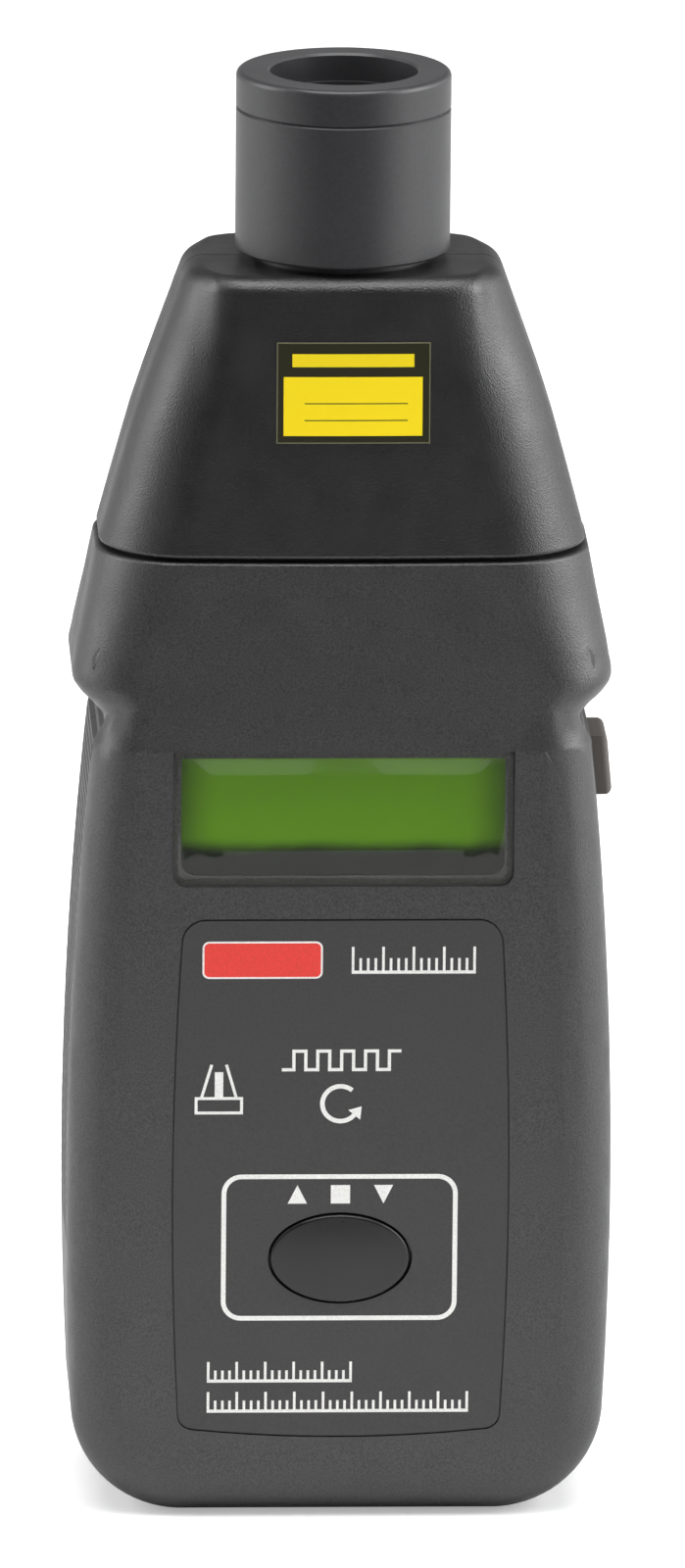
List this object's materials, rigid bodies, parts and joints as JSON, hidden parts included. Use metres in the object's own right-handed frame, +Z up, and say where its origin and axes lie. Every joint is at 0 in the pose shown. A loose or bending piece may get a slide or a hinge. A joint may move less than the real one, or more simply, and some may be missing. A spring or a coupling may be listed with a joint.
{
  "type": "digital tachometer",
  "caption": "Hand-held digital tachometer with a tapered optical nose, a collar, a display window, a memory key, a side measure key and a sliding battery cover.",
  "frame": {"origin": "middle of the flat foot, which is also the bottom centre of the whole part", "axes": "+Z up along the handle to the nose, -Y towards the display and the memory key, +X towards the side of the measure key"},
  "size_m": [0.071, 0.037, 0.19],
  "materials": {
    "casing_abs": "spark-eroded matt charcoal ABS",
    "collar_abs": "smooth satin black ABS",
    "key_rubberised": "satin black ABS keys",
    "label_film": "matt dark grey printed film",
    "sticker_film": "yellow film with a dark border",
    "window_acrylic": "clear cast acrylic",
    "lens_glass": "polished glass",
    "lcd_green": "green reflective display glass",
    "frame_plastic": "black moulded plastic",
    "strip_rubber": "conductive rubber strips",
    "board_laminate": "green solder resist on glass laminate",
    "chip_epoxy": "black moulding compound",
    "steel_plated": "nickel-plated steel",
    "brass_turned": "turned brass",
    "cell_wrap": "plain printed steel can",
    "lead_pvc": "PVC insulated wire"
  },
  "bodies": {
    "root": {"front_shell": "casing_abs", "rear_shell": "casing_abs", "nose_front_shell": "casing_abs", "nose_rear_shell": "casing_abs", "collar_tube": "collar_abs", "aperture_ring": "collar_abs", "condenser_lens": "lens_glass", "lens_retainer": "collar_abs", "optics_block": "frame_plastic", "laser_module": "brass_turned", "photo_sensor": "chip_epoxy", "sensor_board": "board_laminate", "display_window": "window_acrylic", "front_label": "label_film", "nose_sticker": "sticker_film", "memory_switch": "frame_plastic", "measure_switch": "frame_plastic", "main_board": "board_laminate", "lcd_frame": "frame_plastic", "lcd_glass": "lcd_green", "zebra_strips": "strip_rubber", "main_chip": "chip_epoxy", "crystal": "steel_plated", "capacitors": "frame_plastic", "battery_1": "cell_wrap", "battery_2": "cell_wrap", "battery_3": "cell_wrap", "battery_4": "cell_wrap", "contact_plates": "steel_plated", "leaf_springs": "steel_plated", "battery_leads": "lead_pvc", "body_screws": "steel_plated", "nose_screws": "steel_plated", "board_screws": "steel_plated"},
    "memory_key": {"memory_button": "key_rubberised", "memory_plunger": "frame_plastic"},
    "measure_key": {"measure_button": "key_rubberised", "measure_plunger": "frame_plastic"},
    "battery_door": {"battery_cover": "casing_abs"}
  },
  "joints": [
    {"name": "memory_press", "type": "slide", "parent": "root", "child": "memory_key", "axis": [0, 1, 0], "range_m": [0, 0.001], "stiffness_N_per_m": 800, "springref_m": -0.0006},
    {"name": "measure_press", "type": "slide", "parent": "root", "child": "measure_key", "axis": [-1, 0, 0], "range_m": [0, 0.0015], "stiffness_N_per_m": 600, "springref_m": -0.0008},
    {"name": "cover_slide", "type": "slide", "parent": "root", "child": "battery_door", "axis": [0, 0, -1], "range_m": [0, 0.06]}
  ]
}
